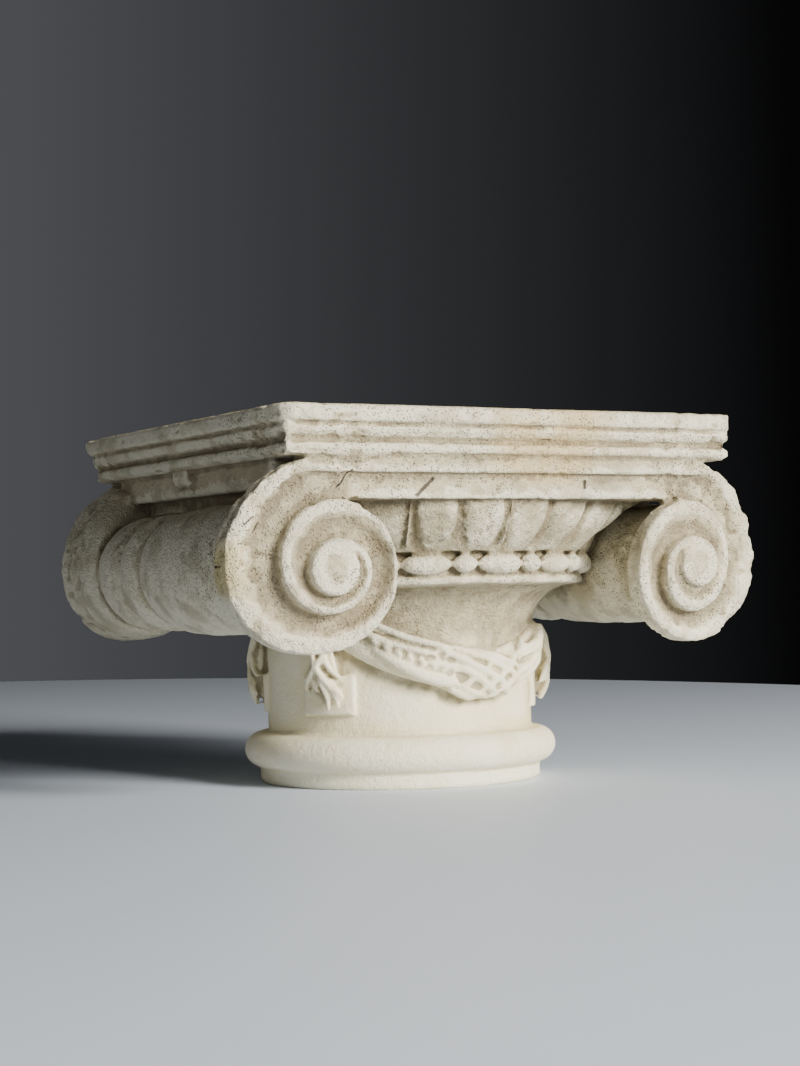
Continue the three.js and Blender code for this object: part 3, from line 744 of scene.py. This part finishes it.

# cream plaster, darker above about 54 to 72 mm and lighter on the drum below
base = tint(aged["drum"], aged["above"], upper)
base = tint(base, aged["warm"], maths("MULTIPLY", rangeNode(noiseNode(22, 3), 0.52, 0.72), 0.4))
patches = rangeNode(noiseNode(17, 4), 0.48, 0.68)
base = tint(base, aged["ochre"], maths("MULTIPLY", patches, rangeNode(upper, 0.6, 0.0, 0.0, 0.6)))
patches = rangeNode(noiseNode(48, 5, 0.7), 0.46, 0.66)
base = tint(base, aged["grey"], maths("MULTIPLY", patches, maths("MULTIPLY", upper, 0.6)))
# lighter on the ridges: partly rubbed-clean plaster, partly painted highlight
rubbedAndHighlit = rangeNode(noiseNode(75, 4), 0.36, 0.56, 0.25, 0.95)
base = tint(base, aged["rubbedAndHighlit"], maths("MULTIPLY", raised, rubbedAndHighlit))
# peach stain on the front of the abacus
fromMiddle = maths("ABSOLUTE", maths("SUBTRACT", place.outputs["X"], 0.013), 0)
peach = maths("MULTIPLY", rangeNode(fromMiddle, 0.034, 0.012), rangeNode(height, 0.112, 0.119))
patches = rangeNode(noiseNode(55, 4), 0.36, 0.58, 0.25, 0.8)
base = tint(base, aged["peach"], maths("MULTIPLY", maths("MULTIPLY", peach, front), patches))
# yellowed chip on the rim of the left volute
ragged = maths("ADD", place.outputs["X"], maths("MULTIPLY", noiseNode(130, 3), 0.012))
fromChip = maths("ABSOLUTE", maths("SUBTRACT", height, 0.085), 0)
yellowed = maths("MULTIPLY", rangeNode(ragged, -0.100, -0.111), rangeNode(fromChip, 0.014, 0.005))
base = tint(base, aged["yellow"], maths("MULTIPLY", maths("MULTIPLY", yellowed, front), 0.6))
onEggs = maths("MULTIPLY", rangeNode(height, 0.086, 0.091), rangeNode(height, 0.1105, 0.108))
onEggs = maths("MULTIPLY", onEggs, rangeNode(maths("ABSOLUTE", place.outputs["X"], 0), 0.066, 0.055))
patches = rangeNode(noiseNode(90, 5, 0.7), 0.35, 0.62, 0.1, 0.75)
base = tint(base, aged["eggs"], maths("MULTIPLY", onEggs, patches))
# dirt in the hollows, darkened further as painted shade in the recesses
grimeAndShade = maths("MULTIPLY", sunk, rangeNode(noiseNode(110, 6, 0.7), 0.3, 0.6, 0.3, 1.0))
grimeAndShade = maths("MULTIPLY", grimeAndShade, rangeNode(height, 0.026, 0.036, 0.3, 1.0))
base = tint(base, aged["grimeAndShade"], maths("MULTIPLY", grimeAndShade, 0.72))
pits = tree.nodes.new("ShaderNodeTexVoronoi")
pits.inputs["Scale"].default_value = aged["pitScale"]
tree.links.new(coords.outputs["Object"], pits.inputs["Vector"])
dots = rangeNode(pits.outputs["Distance"], 0.34, 0.2)
speck = maths("MULTIPLY", dots, rangeNode(noiseNode(260, 4, 0.7), 0.43, 0.55))
speck = maths("MULTIPLY", speck, rangeNode(noiseNode(38, 4), 0.36, 0.54))
towardsFront = rangeNode(place.outputs["Y"], -0.02, -0.06, 0.35, 1.0)
speck = maths("MULTIPLY", speck, maths("MULTIPLY", upper, towardsFront))
base = tint(base, aged["speck"], maths("MULTIPLY", speck, 0.85))
base = tint(base, aged["crack"], maths("MULTIPLY", cracks, 0.85))
tree.links.new(base, shader.inputs["Base Color"])
bump = tree.nodes.new("ShaderNodeBump")
bump.inputs["Strength"].default_value = 1.0
bump.inputs["Distance"].default_value = aged["bump"]
grain = maths("ADD", noiseNode(420, 5, 0.7), maths("MULTIPLY", noiseNode(1500, 2), 0.4))
grain = maths("MULTIPLY", grain, rangeNode(upper, 0.0, 1.0, 0.35, 1.0))
pitted = maths("SUBTRACT", grain, maths("ADD", maths("MULTIPLY", speck, 0.5), cracks))
tree.links.new(pitted, bump.inputs["Height"])
tree.links.new(bump.outputs["Normal"], shader.inputs["Normal"])
cast.data.materials.clear()
cast.data.materials.append(plaster)

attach(cast, "root")
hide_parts("capital")

# table and room

# an oval top, wide enough for all of it that the photo shows
tableTop = {"scale": (0.93, 1.28, 1), "turn": -29.8, "at": (-0.415, 0.055, -0.015), "thick": 0.03,
            "colour": (0.62, 0.70, 0.83, 1), "roughness": 0.55}
bpy.ops.mesh.primitive_cylinder_add(vertices=240, radius=1.0, depth=tableTop["thick"])
table = bpy.context.object
table.name = "tableTop"
table.scale = tableTop["scale"]
table.rotation_euler = (0, 0, math.radians(tableTop["turn"]))
table.location = tableTop["at"]
bpy.ops.object.transform_apply(location=True, rotation=True, scale=True)
tableMat = bpy.data.materials.new("paleTable")
tableMat.use_nodes = True
top = tableMat.node_tree.nodes["Principled BSDF"]
top.inputs["Base Color"].default_value = tableTop["colour"]
top.inputs["Roughness"].default_value = tableTop["roughness"]
table.data.materials.append(tableMat)

# dim wall that glows as painted light, brighter on the left and near black on the right: where each tone stands
# across it, from left to right, and how bright it is
wallLook = {"size": 6, "at": (1.0, 2.4, 0.6), "turn": -29.8, "left": -0.331, "right": 0.979,
            "green": 1.03, "blue": 1.12,
            "stops": [(0.0, 0.079), (0.25, 0.056), (0.5, 0.034), (0.75, 0.0165), (1.0, 0.0028)]}
facing = (math.radians(90), 0, math.radians(wallLook["turn"]))
bpy.ops.mesh.primitive_plane_add(size=wallLook["size"], location=wallLook["at"], rotation=facing)
backdrop = bpy.context.object
backdrop.name = "backdrop"
wallMat = bpy.data.materials.new("dimWall")
wallMat.use_nodes = True
wallTree = wallMat.node_tree
wall = wallTree.nodes["Principled BSDF"]
wall.inputs["Base Color"].default_value = (0, 0, 0, 1)
wall.inputs["Roughness"].default_value = 1.0
wall.inputs["Specular IOR Level"].default_value = 0.0
wall.inputs["Emission Strength"].default_value = 1.0
wallCoords = wallTree.nodes.new("ShaderNodeTexCoord")
across = wallTree.nodes.new("ShaderNodeSeparateXYZ")
wallTree.links.new(wallCoords.outputs["Object"], across.inputs["Vector"])
ramp = wallTree.nodes.new("ShaderNodeValToRGB")
shift = wallTree.nodes.new("ShaderNodeMapRange")
shift.inputs["From Min"].default_value = wallLook["left"]
shift.inputs["From Max"].default_value = wallLook["right"]
wallTree.links.new(across.outputs["X"], shift.inputs["Value"])
wallTree.links.new(shift.outputs["Result"], ramp.inputs["Fac"])
for at, tone in wallLook["stops"][1:-1]:
    ramp.color_ramp.elements.new(at)
for element, (at, tone) in zip(ramp.color_ramp.elements, wallLook["stops"]):
    element.position = at
    element.color = (tone, tone * wallLook["green"], tone * wallLook["blue"], 1)
wallTree.links.new(ramp.outputs["Color"], wall.inputs["Emission Color"])
backdrop.data.materials.append(wallMat)
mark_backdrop(table, backdrop)

light = {"air": (0.6, 0.62, 0.66, 1), "airStrength": 0.012, "aim": (0, 0, 0.07),
         "windowAt": (0.48, -1.66, 0.62), "windowPower": 88, "windowColour": (1.0, 0.955, 0.87),
         "fillAt": (-1.5, -0.5, 0.35), "fillPower": 1.6, "fillColour": (1.0, 0.98, 0.94)}
world = bpy.data.worlds.new("room")
bpy.context.scene.world = world
world.use_nodes = True
air = world.node_tree.nodes["Background"]
air.inputs["Color"].default_value = light["air"]
air.inputs["Strength"].default_value = light["airStrength"]


def softBox(name, place, aim, width, height, power, colour):
    bpy.ops.object.light_add(type="AREA", location=place)
    lamp = bpy.context.object
    lamp.name = name
    lamp.data.shape = "RECTANGLE"
    lamp.data.size, lamp.data.size_y = width, height
    lamp.data.energy = power
    lamp.data.color = colour
    lamp.rotation_mode = "QUATERNION"
    lamp.rotation_quaternion = (Vector(aim) - Vector(place)).to_track_quat("-Z", "Y")


softBox("windowLight", light["windowAt"], light["aim"], 0.62, 0.62, light["windowPower"], light["windowColour"])
softBox("fill", light["fillAt"], light["aim"], 0.8, 0.5, light["fillPower"], light["fillColour"])

# camera

look = {"at": (-424.525, -746.029, 75.101), "turn": 29.761, "pitch": 1.636, "roll": -1.269, "lens": 70.92}
a, p, r = (math.radians(look[key]) for key in ("turn", "pitch", "roll"))
ahead = Vector((math.sin(a) * math.cos(p), math.cos(a) * math.cos(p), math.sin(p)))
right = Vector((math.cos(a), -math.sin(a), 0))
up = right.cross(ahead)
rightRolled = right * math.cos(r) + up * math.sin(r)
upRolled = up * math.cos(r) - right * math.sin(r)
bpy.ops.object.camera_add(location=Vector(look["at"]) * mm)
camera = bpy.context.object
camera.data.lens = look["lens"]
camera.data.sensor_width = 36
camera.data.clip_start = 0.05
axes = Matrix((rightRolled, upRolled, -ahead)).transposed().to_4x4()
camera.matrix_world = Matrix.Translation(Vector(look["at"]) * mm) @ axes
bpy.context.scene.camera = camera

low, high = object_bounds()
print("visual", [round(x * 1000, 1) for x in (*low, *high)])
